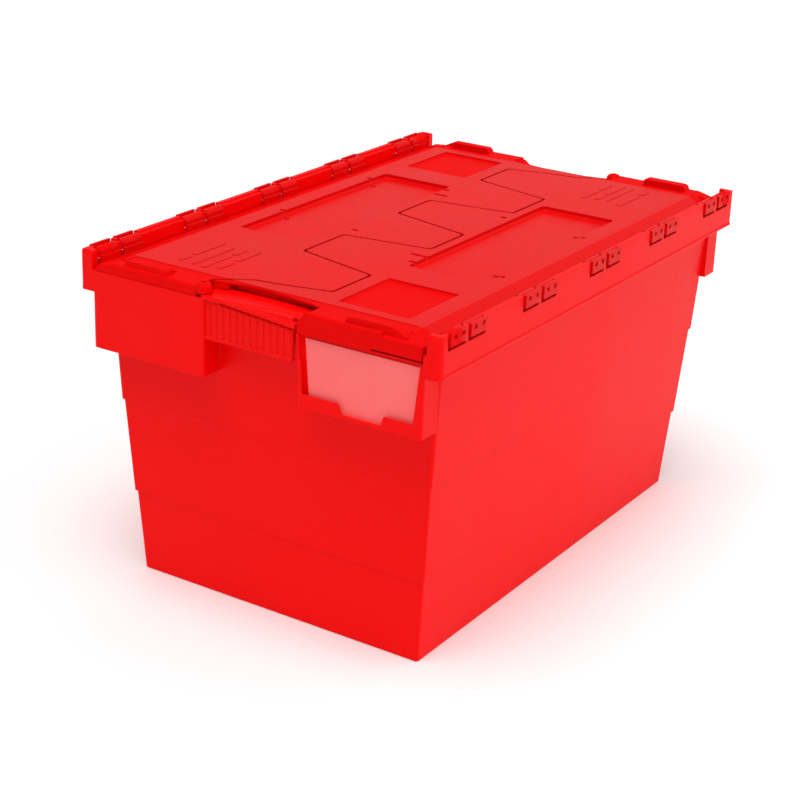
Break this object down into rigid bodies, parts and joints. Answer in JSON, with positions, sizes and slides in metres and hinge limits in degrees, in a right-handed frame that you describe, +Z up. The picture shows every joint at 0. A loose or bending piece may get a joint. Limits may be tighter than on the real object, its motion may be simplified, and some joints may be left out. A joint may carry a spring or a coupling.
{
  "type": "attached lid tote",
  "caption": "Stackable nesting plastic tote with a two-leaf interlocking lid hinged along both long sides, moulded hand grips and a card holder.",
  "frame": {"origin": "middle of the tote's underside, on the surface it stands on", "axes": "+X across the width towards the right rail, +Y along the length away from the card holder end, +Z up"},
  "size_m": [0.4, 0.6, 0.3396],
  "materials": {
    "red_polypropylene": "satin",
    "hinge_steel": "satin",
    "card": "matte"
  },
  "bodies": {
    "tub_body": {"tub": "red_polypropylene", "hinge_rod_right": "hinge_steel", "hinge_rod_left": "hinge_steel", "label_card": "card"},
    "lid_right": {"lid_leaf_right": "red_polypropylene"},
    "lid_left": {"lid_leaf_left": "red_polypropylene"}
  },
  "joints": [
    {"name": "lid_right_hinge", "type": "hinge", "parent": "tub_body", "child": "lid_right", "pos_m": [0.192, 0, 0.333], "axis": [0, 1, 0], "range_deg": [0, 258]},
    {"name": "lid_left_hinge", "type": "hinge", "parent": "tub_body", "child": "lid_left", "pos_m": [-0.192, 0, 0.333], "axis": [0, -1, 0], "range_deg": [0, 258]}
  ]
}
